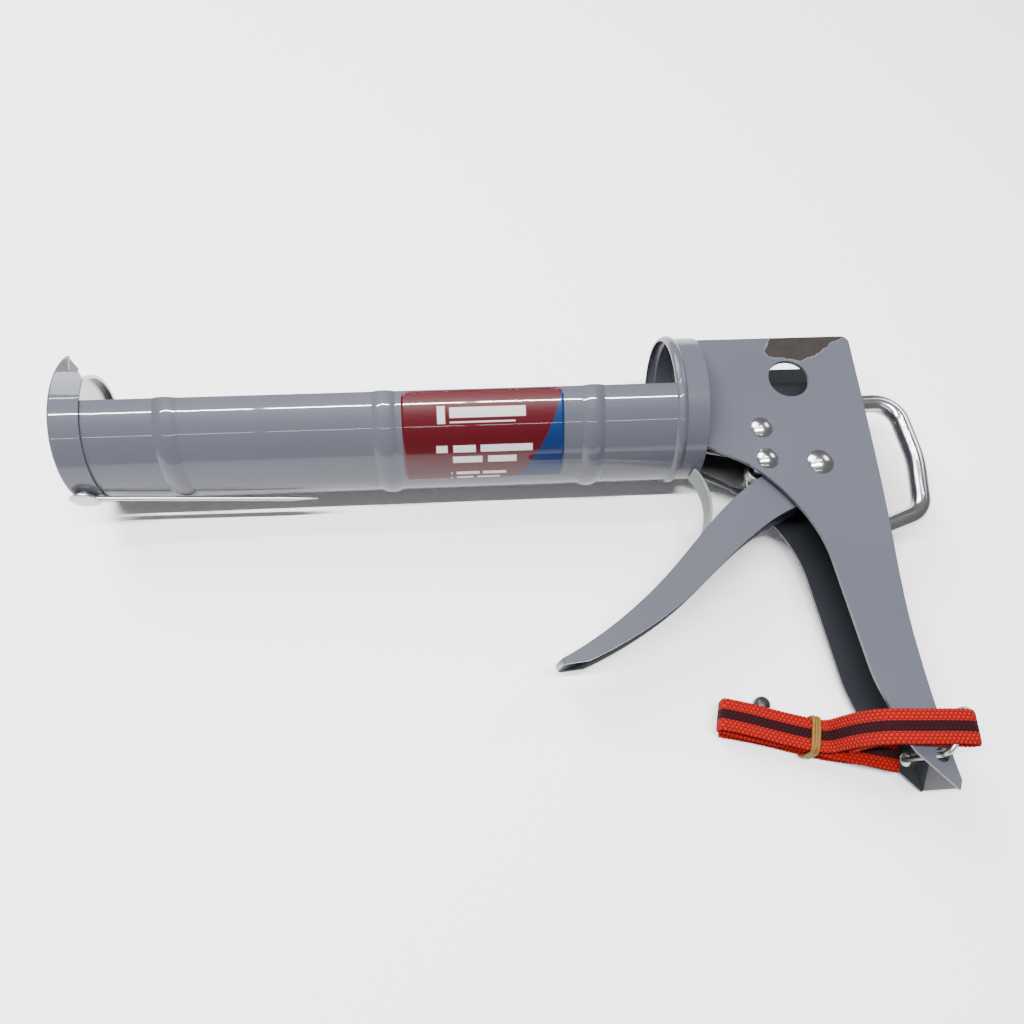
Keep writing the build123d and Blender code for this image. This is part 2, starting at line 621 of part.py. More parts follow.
def strap_loop():
    points = [(0.6, 10.6), (2.4, 16.0), (5.6, 25.0), (11.0, 32.0), (20.0, 33.6), (31.0, 33.9),
              (39.6, 33.4), (39.6, 28.6), (31.0, 29.4), (20.0, 29.6), (13.0, 28.2), (9.0, 20.0), (7.2, 10.6)]
    stretch = (ring_height() - LOOP_FOOT) / LOOP_RISE
    points = [(s, LOOP_FOOT + (z - LOOP_FOOT) * stretch) for s, z in points]
    radii = corner_radii(points)
    print("strap loop arc radii, mm:", [round(radius, 1) for radius in radii])
    path = FilletPolyline(*points, radius=radii)
    return upright(trace(path, STRAP_THICKNESS), LOOP_PLACE, LOOP_TURN)


def strap_hank():
    low, foot, upper, top = 1.0, 5.0, 9.4, HANK_HEIGHT
    side = face_of(Polyline((0, low), (46, low), (51, foot), (HANK_LENGTH, foot), (HANK_LENGTH, upper),
                            (36.6, upper), (36.6, top), (2.5, top), (2.5, 7.0), (0, 7.0), close=True))
    return upright(side, HANK_PLACE, HANK_TURN)


def rubber_band():
    side, bottom, top = STRAP_WIDTH / 2 + 0.1, 0.9, HANK_HEIGHT + 0.1
    outer = side + BAND_WALL
    frame = block(-BAND_WIDTH / 2, BAND_WIDTH / 2, -outer, outer, bottom - BAND_WALL, top + BAND_WALL)
    frame -= block(-BAND_WIDTH, BAND_WIDTH, -side, side, bottom, top)
    return Pos(*HANK_PLACE) * Rot(0, 0, HANK_TURN) * Pos(BAND_AT, 0, 0) * frame


def strap_toggle():
    bead = fillet(Cylinder(TOGGLE_RADIUS, TOGGLE_HEIGHT).edges(), 1.2)
    beside = STRAP_WIDTH / 2 + TOGGLE_RADIUS + APART
    return Pos(*HANK_PLACE) * Rot(0, 0, HANK_TURN) * Pos(TOGGLE_AT, beside, TOGGLE_HEIGHT / 2 + 0.05) * bead


# ---- Assembly ----
def gun_parts():
    lever = trigger()
    return {
        "barrel": barrel(), "front_cap": front_cap(), "barrel_back_plate": barrel_back_plate(),
        "barrel_nut": barrel_nut(), "label": label(), "punch_rivet": punch_rivet(), "seal_punch": seal_punch(),
        "housing": housing(), "front_bracket": front_bracket(),
        "bracket_rivet_upper": cross_rivet(UPPER_RIVET, RIVET_RADIUS, RIVET_HEAD_RADIUS, RIVET_HEAD_HEIGHT),
        "bracket_rivet_lower": cross_rivet(LOWER_RIVET, RIVET_RADIUS, RIVET_HEAD_RADIUS, RIVET_HEAD_HEIGHT),
        "trigger_rivet": cross_rivet(TRIGGER_PIVOT, TRIGGER_RIVET_RADIUS, TRIGGER_HEAD_RADIUS,
                                     TRIGGER_HEAD_HEIGHT),
        "trigger_washers": trigger_washers(), "rear_bush": rear_bush(), "return_spring": return_spring(),
        "stop_pawl": stop_pawl(), "stop_pawl_spring": stop_pawl_spring(), "trigger": lever,
        "finger_strip": finger_strip(lever), "pawl_pin": pawl_pin(), "drive_pawl": drive_pawl(),
        "drive_pawl_spring": drive_pawl_spring(), "cutter_blade": cutter_blade(), "rod": rod(),
        "rod_nut": rod_nut(), "plunger_disc": plunger_disc(), "plunger_washer": plunger_washer(),
        "lanyard_ring": lanyard_ring(),
    }


def strap_parts():
    return {"strap_hank": strap_hank(), "strap_loop": strap_loop(), "rubber_band": rubber_band(),
            "strap_toggle": strap_toggle()}


def main():
    os.makedirs("parts", exist_ok=True)
    gun = {name: laid(shape) for name, shape in gun_parts().items()}
    box = Compound(children=[Compound(shape.solids()) for shape in gun.values()]).bounding_box()
    origin = Pos(-box.center().X, -box.center().Y, -box.min.Z)
    print("roll, degrees:", round(roll_angle(), 4), "origin in the gun's frame:", box.center(), box.min.Z)
    for name, shape in {**gun, **strap_parts()}.items():
        export_step(origin * shape, f"parts/{name}.step")


main()
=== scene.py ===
import json
from math import asin, cos, radians, sin

import bpy
import numpy as np
from mathutils import Euler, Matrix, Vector


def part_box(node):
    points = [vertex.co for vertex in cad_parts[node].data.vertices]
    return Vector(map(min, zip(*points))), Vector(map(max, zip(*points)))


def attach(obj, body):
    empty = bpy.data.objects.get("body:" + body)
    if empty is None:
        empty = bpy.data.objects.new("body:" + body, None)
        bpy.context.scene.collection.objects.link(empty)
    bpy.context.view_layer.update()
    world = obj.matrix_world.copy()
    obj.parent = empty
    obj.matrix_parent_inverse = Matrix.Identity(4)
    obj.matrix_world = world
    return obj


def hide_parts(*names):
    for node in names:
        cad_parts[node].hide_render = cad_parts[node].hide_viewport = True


bl_info = {
    "name": "Caulking gun",
    "version": (1, 0, 0),
    "blender": (4, 5, 0),
    "location": "View3D > Sidebar > Caulking gun",
    "description": "Makes a half-barrel caulking gun's label, springs, strap and finishes on its CAD frame",
    "category": "Add Mesh",
}

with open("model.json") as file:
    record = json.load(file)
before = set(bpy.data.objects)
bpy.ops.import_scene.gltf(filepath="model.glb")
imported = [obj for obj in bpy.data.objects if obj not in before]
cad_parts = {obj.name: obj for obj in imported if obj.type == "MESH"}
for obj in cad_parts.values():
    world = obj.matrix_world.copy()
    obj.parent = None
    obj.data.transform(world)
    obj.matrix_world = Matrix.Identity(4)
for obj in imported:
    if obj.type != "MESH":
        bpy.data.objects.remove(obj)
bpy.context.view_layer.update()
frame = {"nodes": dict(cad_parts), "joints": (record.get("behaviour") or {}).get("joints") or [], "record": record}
MM = 0.001

# ---- The gun's own axes in the frame: barrel axis, ring's rear face and roll ----
PLATE_LOW, PLATE_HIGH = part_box("barrel_back_plate")
AXIS = np.array([PLATE_HIGH.x, (PLATE_LOW.y + PLATE_HIGH.y) / 2, (PLATE_LOW.z + PLATE_HIGH.z) / 2])
SURFACE = np.array([AXIS[0], AXIS[1], 0.0])
ROLL = asin(-[joint for joint in frame["joints"] if joint["name"] == "trigger_pull"][0]["axis"][1])


def from_gun(points):
    """Points along the barrel, away from the handle and towards the upper side, in mm, to the frame."""
    x, y, z = np.moveaxis(np.asarray(points, float), -1, 0)
    laid = np.stack([x, y * cos(ROLL) - z * sin(ROLL), y * sin(ROLL) + z * cos(ROLL)], -1)
    return laid * MM + AXIS


def from_surface(points):
    """Points in mm over the surface the gun lies on, counted from below the ring's rear face."""
    return np.asarray(points, float) * MM + SURFACE


# ---- Shader maths ----
class Amount:
    """A number socket that Python's operators join with Math nodes."""

    def __init__(self, paint, socket):
        self.paint = paint
        self.socket = socket

    def _math(self, operation, first, second):
        return self.paint.number(operation, first, second)

    def __add__(self, other):
        return self._math("ADD", self, other)

    def __radd__(self, other):
        return self._math("ADD", other, self)

    def __sub__(self, other):
        return self._math("SUBTRACT", self, other)

    def __rsub__(self, other):
        return self._math("SUBTRACT", other, self)

    def __mul__(self, other):
        return self._math("MULTIPLY", self, other)

    def __rmul__(self, other):
        return self._math("MULTIPLY", other, self)

    def __truediv__(self, other):
        return self._math("DIVIDE", self, other)


class Finish:
    """One material: its Principled shader and the nodes that feed it."""

    def __init__(self, name, **constants):
        self.material = bpy.data.materials.new(name)
        self.material.use_nodes = True
        self.tree = self.material.node_tree
        self.shader = self.tree.nodes["Principled BSDF"]
        for key, value in constants.items():
            self.shader.inputs[key.replace("_", " ")].default_value = value

    def link(self, value, socket):
        if isinstance(value, Amount):
            self.tree.links.new(value.socket, socket)
        else:
            socket.default_value = value

    def node(self, kind, settings=None, **inputs):
        made = self.tree.nodes.new("ShaderNode" + kind)
        for key, value in (settings or {}).items():
            setattr(made, key, value)
        for key, value in inputs.items():
            self.link(value, made.inputs[key.replace("_", " ")])
        return made

    def number(self, operation, first, second=0.0):
        made = self.node("Math", {"operation": operation})
        self.link(first, made.inputs[0])
        self.link(second, made.inputs[1])
        return Amount(self, made.outputs[0])

    def place(self, roll=0.0, offset=(0, 0, 0)):
        """Object coordinates, turned into the gun's own axes where a roll is given."""
        coordinates = self.node("TexCoord")
        mapped = self.node("Mapping", {"vector_type": "TEXTURE"})
        self.tree.links.new(coordinates.outputs["Object"], mapped.inputs["Vector"])
        mapped.inputs["Location"].default_value = offset
        mapped.inputs["Rotation"].default_value = (roll, 0, 0)
        return Amount(self, mapped.outputs[0])

    def surface_map(self):
        return Amount(self, self.node("UVMap", {"uv_map": "UVMap"}).outputs[0])

    def split(self, vector):
        made = self.node("SeparateXYZ", Vector=vector)
        return [Amount(self, made.outputs[axis]) for axis in "XYZ"]

    def noise(self, vector, scale, detail=3.0, roughness=0.5):
        made = self.node("TexNoise", Vector=vector, Scale=scale, Detail=detail, Roughness=roughness)
        return Amount(self, made.outputs["Fac"])

    def cells(self, vector, scale):
        made = self.node("TexVoronoi", Vector=vector, Scale=scale)
        return Amount(self, made.outputs["Distance"])

    def step(self, value, low, high):
        """0 below low, 1 above high, smooth between."""
        made = self.node("MapRange", {"interpolation_type": "SMOOTHSTEP"})
        self.link(value, made.inputs["Value"])
        made.inputs["From Min"].default_value = low
        made.inputs["From Max"].default_value = high
        return Amount(self, made.outputs[0])

    def blend(self, factor, first, second):
        """Mix of two colours, each a colour socket or three numbers."""
        made = self.node("Mix", {"data_type": "RGBA"})
        self.link(factor, made.inputs[0])
        for value, socket in ((first, made.inputs[6]), (second, made.inputs[7])):
            self.link(value if isinstance(value, Amount) else (*value, 1.0), socket)
        return Amount(self, made.outputs[2])

    def bump(self, height, strength, distance, soft_edge=0.0):
        made = self.node("Bump", Height=height, Strength=strength, Distance=distance)
        if soft_edge:
            edge = self.node("Bevel", {"samples": 4}, Radius=soft_edge)
            self.tree.links.new(edge.outputs[0], made.inputs["Normal"])
        self.tree.links.new(made.outputs[0], self.shader.inputs["Normal"])

    def set(self, **sockets):
        for key, value in sockets.items():
            self.link(value, self.shader.inputs[key.replace("_", " ")])
        return self.material


# ---- Finishes ----
# Bare patch on the near side plate, in mm: each row is a line through x, y with the inward direction.
PATCH_SIDES = ((27.9, 17.3, 0.85, -0.53), (27.9, 17.3, 0.83, 0.56), (29.6, 14.8, 0.17, 0.99),
               (42.3, 12.6, -0.40, 0.92), (50.0, 16.2, -0.62, 0.78))
PATCH_TAIL = ((50.0, 18.6, -0.35, 0.94), (46.0, 19.0, 1.0, 0.0))
# Outer face of the housing's web, in mm: x for each y from the top to the foot. It bounds the painted shade inside
# the housing.
WEB_BACK = ((23.0, 62.2), (-3.0, 62.2), (-30.0, 61.9), (-55.0, 61.3), (-84.0, 60.2), (-112.0, 61.4),
            (-140.5, 64.6))


def least(paint, values):
    smallest = values[0]
    for value in values[1:]:
        smallest = paint.number("MINIMUM", smallest, value)
    return smallest


def within(paint, sides, x, y):
    """Distance inside a shape with straight sides, in metres."""
    return least(paint, [(x - at_x * MM) * in_x + (y - at_y * MM) * in_y
                         for at_x, at_y, in_x, in_y in sides])


def grey_paint(name, colour, housing=False):
    """Gloss stove paint: cloudy tone, orange peel and a few chips. On the housing one patch is rubbed bare, and
    the inside of its channel is darkened as painted shade.
    """
    paint = Finish(name, Coat_Weight=0.50, Coat_Roughness=0.04, Specular_IOR_Level=0.08)
    place = paint.place(ROLL, tuple(AXIS))
    cloud = paint.noise(place, 22.0)
    fine = paint.noise(place, 420.0, 2.0)
    speck = paint.step(paint.cells(place, 95.0), 0.075, 0.05)
    chip = speck * paint.step(paint.noise(place, 26.0, 1.0), 0.62, 0.68)
    tone = paint.blend(cloud, tuple(c * 0.90 for c in colour), tuple(c * 1.10 for c in colour))
    tone = paint.blend(chip * 0.7, tone, (0.16, 0.155, 0.15))
    rough = 0.34 + cloud * 0.10 + chip * 0.25
    height = fine * 0.30 + cloud * 0.5 - chip
    metal = 0.0
    if housing:
        x, y, z = paint.split(place)
        ragged = paint.noise(place, 300.0, 4.0, 0.65)
        wobble = (ragged - 0.5) * (3.2 * MM)
        body = within(paint, PATCH_SIDES, x, y)
        tail = within(paint, PATCH_TAIL, x, y)
        depth = paint.number("MAXIMUM", body, tail) + wobble
        near = paint.step(z, 11.9 * MM, 12.2 * MM)
        patch = paint.step(depth, 0.0, 0.25 * MM) * near
        rim = paint.step(depth, -0.55 * MM, -0.1 * MM) * near
        bare = paint.blend(ragged, (0.016, 0.013, 0.012), (0.034, 0.029, 0.026))
        tone = paint.blend(rim, tone, (0.090, 0.093, 0.105))
        tone = paint.blend(patch, tone, bare)
        rough = rough + patch * 0.15
        metal = patch * 0.35
        height = height - patch * 1.5
        # Painted shade: between the side plates and ahead of the web's outer face, the paint is darkened almost to
        # black.
        curve = np.polyfit([row[0] * MM for row in WEB_BACK], [row[1] * MM for row in WEB_BACK], 4)
        web = float(curve[0]) * y + float(curve[1])
        for factor in curve[2:]:
            web = web * y + float(factor)
        between = paint.step(paint.number("ABSOLUTE", z), 11.3 * MM, 11.1 * MM)
        inside = between * paint.step(web - x, 0.6 * MM, 0.9 * MM)
        tone = paint.blend(inside * 0.8, tone, (0.008, 0.009, 0.010))
    paint.bump(height, 0.30, 0.00012, 0.00035)
    return paint.set(Base_Color=tone, Roughness=rough, Metallic=metal)


def plated(name, colour, roughness, streak):
    """Plated steel: bright, a little cloudy, with fine scratches along one way."""
    metal = Finish(name, Metallic=1.0)
    place = metal.place()
    cloud = metal.noise(place, 60.0)
    stretched = metal.node("Mapping", {"vector_type": "POINT"}, Vector=place)
    stretched.inputs["Scale"].default_value = (60, 900, 900)
    scratch = metal.noise(Amount(metal, stretched.outputs[0]), 1.0, 2.0)
    tone = metal.blend(cloud, tuple(c * 0.88 for c in colour), colour)
    metal.bump(scratch, streak, 0.00005, 0.0002)
    return metal.set(Base_Color=tone, Roughness=roughness + cloud * 0.12 + scratch * 0.06)


# Printed bars that stand in for the label's wording: left, right, top, bottom as shares of the label.
LABEL_BARS = (
    (0.214, 0.268, 0.150, 0.330), (0.290, 0.765, 0.165, 0.275), (0.290, 0.700, 0.303, 0.326),
    (0.200, 0.275, 0.545, 0.630), (0.305, 0.450, 0.545, 0.630), (0.475, 0.805, 0.545, 0.630),
    (0.300, 0.490, 0.670, 0.755), (0.520, 0.705, 0.670, 0.755),
    (0.283, 0.298, 0.885, 0.915), (0.318, 0.470, 0.875, 0.925), (0.485, 0.640, 0.875, 0.925),
    (0.283, 0.298, 0.960, 0.985), (0.318, 0.430, 0.955, 0.990), (0.450, 0.600, 0.955, 0.990),
)


def printed_label():
    """Dark red film with a blue field along one side behind a curved boundary, and plain light bars."""
    film = Finish("label film", Coat_Weight=0.5, Coat_Roughness=0.05, Specular_IOR_Level=0.1)
    along, down, _ = film.split(film.surface_map())
    boundary = 0.995 - down * 0.16 - down * down * 0.14
    blue = film.step(along - boundary, -0.002, 0.004)
    # Both the blue field and the red grow darker from the label's upper edge to its lower edge.
    field = film.blend(down, (0.003, 0.018, 0.085), (0.002, 0.008, 0.038))
    red = film.blend(down, (0.050, 0.001, 0.004), (0.034, 0.001, 0.003))
    tone = film.blend(blue, red, field)
    marks = 0.0
    for left, right, top, bottom in LABEL_BARS:
        wide = film.step(along, left, left + 0.006) * film.step(along, right, right - 0.006)
        tall = film.step(down, top, top + 0.008) * film.step(down, bottom, bottom - 0.008)
        marks = film.number("MAXIMUM", marks, wide * tall)
    tone = film.blend(marks * 0.9, tone, (0.42, 0.42, 0.44))
    grain = film.noise(film.place(), 700.0, 2.0)
    film.bump(grain, 0.10, 0.00008)
    return film.set(Base_Color=tone, Roughness=0.32 + grain * 0.08)


# Weave of the tape: length of one pick in metres, rows over half the width, and a full turn in radians.
WEAVE_PITCH, WEAVE_ROWS, TURN = 0.00145, 5.0, 6.2832


def webbing():
    """Plain-woven tape: rows of picks laid like bricks, with a dark centre stripe and painted shade in the hollows
    between the picks.
    """
    tape = Finish("strap webbing", Specular_IOR_Level=0.08)
    along, across, _ = tape.split(tape.surface_map())
    row = tape.number("FLOOR", across * WEAVE_ROWS)
    stagger = tape.number("PINGPONG", row, 1.0)
    pick = tape.number("SINE", (along / WEAVE_PITCH + stagger * 0.5) * TURN)
    groove = tape.number("ABSOLUTE", tape.number("SINE", across * (WEAVE_ROWS * TURN / 2)))
    fuzz = tape.noise(tape.surface_map(), 1400.0, 3.0)
    knob = (pick * 0.5 + 0.5) * tape.step(groove, 0.0, 0.55)
    stripe = tape.step(tape.number("ABSOLUTE", across), 0.33, 0.29)
    red = tape.blend(fuzz, (0.21, 0.004, 0.003), (0.36, 0.010, 0.006))
    dark = tape.blend(fuzz, (0.006, 0.002, 0.003), (0.022, 0.004, 0.008))
    tone = tape.blend(stripe, red, dark)
    # Painted shade: where the picks dip low, the tape is darkened.
    tone = tape.blend(tape.step(knob, 0.55, 0.0) * 0.62, tone, (0.022, 0.001, 0.001))
    tape.bump(knob + fuzz * 0.35, 0.9, 0.00045)
    return tape.set(Base_Color=tone, Roughness=0.70 + fuzz * 0.18)


def tan_rubber():
    rubber = Finish("tan rubber", Specular_IOR_Level=0.2)
    cloud = rubber.noise(rubber.place(), 320.0, 3.0)
    rubber.bump(cloud, 0.3, 0.0002)
    tone = rubber.blend(cloud, (0.075, 0.036, 0.005), (0.16, 0.085, 0.013))
    return rubber.set(Base_Color=tone, Roughness=0.42 + cloud * 0.2)


def black_plastic():
    plastic = Finish("black plastic", Specular_IOR_Level=0.25)
    cloud = plastic.noise(plastic.place(), 400.0, 2.0)
    plastic.bump(cloud, 0.15, 0.0001)
    tone = plastic.blend(cloud, (0.008, 0.008, 0.009), (0.02, 0.02, 0.02))
    return plastic.set(Base_Color=tone, Roughness=0.3 + cloud * 0.1)


# ---- Surfaces ----
def surface(name, points, finish, closed_rows=False, closed_columns=False, uv=None, caps=False):
    """A mesh through a grid of points, rows by columns, closed either way and capped at its ends."""
    rows, columns = points.shape[:2]
    row = np.arange(rows if closed_rows else rows - 1)
    column = np.arange(columns if closed_columns else columns - 1)
    r, c = np.meshgrid(row, column, indexing="ij")
    r2, c2 = (r + 1) % rows, (c + 1) % columns
    faces = np.stack([r * columns + c, r * columns + c2, r2 * columns + c2, r2 * columns + c], -1)
    face_list = faces.reshape(-1, 4).tolist()
    if caps:
        face_list.append(list(range(columns))[::-1])
        face_list.append(list(range((rows - 1) * columns, rows * columns)))
    mesh = bpy.data.meshes.new(name)
    mesh.from_pydata(points.reshape(-1, 3).tolist(), [], face_list)
    if uv is not None:
        layer = mesh.uv_layers.new(name="UVMap")
        corner = np.zeros(len(mesh.loops), np.int32)
        mesh.loops.foreach_get("vertex_index", corner)
        layer.data.foreach_set("uv", uv.reshape(-1, 2)[corner].astype(np.float32).ravel())
    mesh.polygons.foreach_set("use_smooth", [True] * len(mesh.polygons))
    mesh.materials.append(finish)
    mesh.update()
    made = bpy.data.objects.new(name, mesh)
    bpy.context.scene.collection.objects.link(made)
    return made


def middle(name):
    """Middle and half extents of a CAD node's box."""
    low, high = (np.array(corner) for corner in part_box(name))
    return (low + high) / 2, (high - low) / 2


def directions(path):
    """The way ahead at each point of a path: its gradient, made one long."""
    step = np.gradient(path, axis=0)
    return step / np.linalg.norm(step, axis=1, keepdims=True)


def carried(path, side, top, outline):
    """An outline carried along a path: point + side times its width + top times its height."""
    width, height = outline[None, :, 0:1], outline[None, :, 1:2]
    return path[:, None, :] + side[:, None, :] * width + top[:, None, :] * height


def tube(name, path, radius, finish, closed=False, sides=10):
    """A round wire: a circle carried square to the path, in a frame that turns as little as it can."""
    ahead = directions(path)
    if closed:
        ahead = np.roll(path, -1, axis=0) - np.roll(path, 1, axis=0)
        ahead /= np.linalg.norm(ahead, axis=1, keepdims=True)
    side = np.zeros_like(path)
    start = np.cross(ahead[0], [0.31, 0.52, 0.79])
    side[0] = start / np.linalg.norm(start)
    for index in range(1, len(path)):
        kept = side[index - 1] - ahead[index] * (side[index - 1] @ ahead[index])
        side[index] = kept / np.linalg.norm(kept)
    top = np.cross(ahead, side)
    turn = np.linspace(0, 2 * np.pi, sides, endpoint=False)
    outline = np.stack([np.cos(turn), np.sin(turn)], -1) * radius
    return surface(name, carried(path, side, top, outline), finish, closed, True, caps=not closed)


def spline_line(points):
    """Points read from a smooth NURBS line of order 3 that the control points draw towards them."""
    curve = bpy.data.curves.new("line", "CURVE")
    curve.dimensions = "3D"
    spline = curve.splines.new("NURBS")
    spline.points.add(len(points) - 1)
    for point, place in zip(spline.points, points):
        point.co = (*place, 1.0)
    spline.order_u = 3
    spline.use_endpoint_u = True
    spline.resolution_u = 24
    holder = bpy.data.objects.new("line", curve)
    bpy.context.scene.collection.objects.link(holder)
    bpy.context.view_layer.update()
    mesh = bpy.data.meshes.new_from_object(holder)
    line = np.zeros(len(mesh.vertices) * 3, np.float32)
    mesh.vertices.foreach_get("co", line)
    line = line.reshape(-1, 3).astype(float)
    bpy.data.objects.remove(holder)
    return line


def finish_piece(made, body, slot, *nodes):
    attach(made, body)
    if nodes:
        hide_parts(*nodes)
    return made


# ---- Settings ----
class GunPaintSettings(bpy.types.PropertyGroup):
    grey: bpy.props.FloatVectorProperty(name="Paint", description="Colour of the stove paint", size=3,
                                        subtype="COLOR", default=(0.055, 0.058, 0.073), min=0, max=1)
    zinc: bpy.props.FloatVectorProperty(name="Zinc", description="Colour of the zinc-plated pieces", size=3,
                                        subtype="COLOR", default=(0.42, 0.43, 0.41), min=0, max=1)
    chrome: bpy.props.FloatVectorProperty(name="Chrome", description="Colour of the rod and the rivets",
                                          size=3, subtype="COLOR", default=(0.50, 0.50, 0.52), min=0, max=1)


class GunLabelSettings(bpy.types.PropertyGroup):
    corner: bpy.props.FloatProperty(name="Corner", description="Radius of the label's upper corners",
                                    default=2.6 * MM, unit="LENGTH")
    thickness: bpy.props.FloatProperty(name="Film", description="Thickness of the label",
                                       default=0.1 * MM, unit="LENGTH")


class GunStrapSettings(bpy.types.PropertyGroup):
    width: bpy.props.FloatProperty(name="Width", description="Width of the webbing", default=11.0 * MM,
                                   unit="LENGTH")
    thickness: bpy.props.FloatProperty(name="Thickness", description="Thickness of the webbing",
                                       default=1.2 * MM, unit="LENGTH")
    band: bpy.props.FloatProperty(name="Band", description="Radius of each strand of the rubber band",
                                  default=0.62 * MM, unit="LENGTH")


# ---- Operators ----
class MakeFinishes(bpy.types.Operator):
    """Give every metal piece of the gun its paint or plating"""
    bl_idname = "caulking_gun.finishes"
    bl_label = "Paint and plating"

    def execute(self, context):
        colours = context.scene.gun_paint
        nodes = frame["nodes"]
        slots = {entry["node"]: entry["material_slot"] for entry in frame["record"]["subparts"]}
        by_slot = {
            "grey_paint": grey_paint("grey paint", tuple(colours.grey)),
            "zinc": plated("zinc plating", tuple(colours.zinc), 0.26, 0.15),
            "chrome": plated("bright plating", tuple(colours.chrome), 0.08, 0.08),
        }
        by_node = {"housing": grey_paint("grey paint of the housing", tuple(colours.grey), housing=True),
                   "finger_strip": plated("dull plating", (0.16, 0.18, 0.175), 0.38, 0.2),
                   # The front bracket is plated, but far darker than the zinc: painted shade where it shows in the
                   # gap behind the ring and inside the housing.
                   "front_bracket": plated("plating darkened as painted shade", (0.10, 0.105, 0.105), 0.42, 0.2)}
        for name, node in nodes.items():
            finish = by_node.get(name) or by_slot.get(slots[name])
            if finish is None:
                continue
            if not node.material_slots:
                node.data.materials.append(finish)
            for entry in node.material_slots:
                entry.material = finish
        return {"FINISHED"}


# Label, in mm and degrees: radius under it, gap to the paint, and its arc from the upper to the lower edge.
LABEL_RADIUS, LABEL_GAP = 27.08, 0.02
LABEL_ARC = (-8.5, -84.0)


class MakeLabel(bpy.types.Operator):
    """Wrap the printed label round the cradle"""
    bl_idname = "caulking_gun.label"
    bl_label = "Label"

    def execute(self, context):
        """Part of a cylinder: across and up are the radius times the sine and cosine of the arc angle. Its
        ends are drawn in by a quarter circle near the upper edge."""
        settings = context.scene.gun_label
        low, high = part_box("label")
        left, right = low.x, high.x
        radius = LABEL_RADIUS * MM
        arc = np.radians(np.linspace(*LABEL_ARC, 70))
        down = (arc[0] - arc) * radius
        corner = settings.corner
        drawn_in = corner - np.sqrt(np.maximum(0, corner ** 2 - (corner - down) ** 2))
        inset = np.where(down < corner, drawn_in, 0)
        share = np.linspace(0, 1, 60)
        x = (left + inset)[:, None] + (right - left - 2 * inset)[:, None] * share[None, :]
        lift = radius + LABEL_GAP * MM
        y = np.repeat((lift * np.sin(arc))[:, None], len(share), 1)
        z = np.repeat((lift * np.cos(arc))[:, None], len(share), 1)
        points = from_gun(np.stack([(x - AXIS[0]) / MM, y / MM, z / MM], -1))
        uv = np.stack([(x - left) / (right - left), np.repeat((down / down[-1])[:, None], len(share), 1)], -1)
        made = surface("label_film", points[:, ::-1], printed_label(), uv=uv[:, ::-1])
        wall = made.modifiers.new("film", "SOLIDIFY")
        wall.thickness = settings.thickness
        wall.offset = 1.0
        finish_piece(made, "gun_body", "label_print", "label")
        return {"FINISHED"}


# Return spring, in mm in the gun's own axes: coil, wire and the tips of its two legs.
SPRING_CENTRE, SPRING_RADIUS, SPRING_SIDE = (21.9, -27.6), 3.8, 2.16
SPRING_COILS, SPRING_WIRE = 5, 0.6
SPRING_LOWER_TIP, SPRING_UPPER_TIP = (18.6, -36.2), (1.9, -19.2)
# Pawl springs: radius of the wire and rise of the coil in mm, and turns.
PAWL_WIRE, PAWL_RISE, PAWL_COILS = 0.35, 2.1, 3


class MakeReturnSpring(bpy.types.Operator):
    """Wind the trigger's return spring round the lower rivet"""
    bl_idname = "caulking_gun.return_spring"
    bl_label = "Return spring"

    def execute(self, context):
        """A helix: the centre plus the radius times the cosine and sine of the turn, with the height in even
        proportion to the turn, and a straight leg at each end."""
        x, y = SPRING_CENTRE
        mean, side = SPRING_RADIUS, SPRING_SIDE
        turn = np.radians(np.linspace(180, 90 + 360 * SPRING_COILS, 260))
        height = np.linspace(-side, side, len(turn))
        winding = np.stack([x + mean * np.cos(turn), y + mean * np.sin(turn), height], -1)
        share = np.linspace(0, 1, 12)[:, None]
        lower = np.array([*SPRING_LOWER_TIP, -side]) * (1 - share) + winding[0] * share
        upper = winding[-1] * (1 - share) + np.array([*SPRING_UPPER_TIP, side]) * share
        path = from_gun(np.concatenate([lower[:-1], winding, upper[1:]]))
        made = tube("return_spring_wire", path, SPRING_WIRE * MM, bpy.data.materials["zinc plating"], sides=12)
        finish_piece(made, "gun_body", "zinc", "return_spring")
        return {"FINISHED"}


class MakePawlSprings(bpy.types.Operator):
    """Wind the two small springs beside the pawls"""
    bl_idname = "caulking_gun.pawl_springs"
    bl_label = "Pawl springs"

    def execute(self, context):
        """A helix about the gun's upward way: radius times cosine along the barrel and sine outwards, with
        the rise in even proportion to the turn."""
        for node, body in (("stop_pawl_spring", "gun_body"), ("drive_pawl_spring", "lever")):
            centre, half = middle(node)
            upward = np.array([0, -sin(ROLL), cos(ROLL)])
            outward = np.array([0, cos(ROLL), sin(ROLL)])
            reach = half[0] - PAWL_WIRE * MM
            turn = np.linspace(0, 2 * np.pi * PAWL_COILS, 120)[:, None]
            ring = np.array([1.0, 0, 0]) * np.cos(turn) + outward * np.sin(turn)
            path = centre + ring * reach + upward * (turn / turn[-1] - 0.5) * PAWL_RISE * MM
            made = tube(node + "_wire", path, PAWL_WIRE * MM, bpy.data.materials["zinc plating"])
            finish_piece(made, body, "zinc", node)
        return {"FINISHED"}


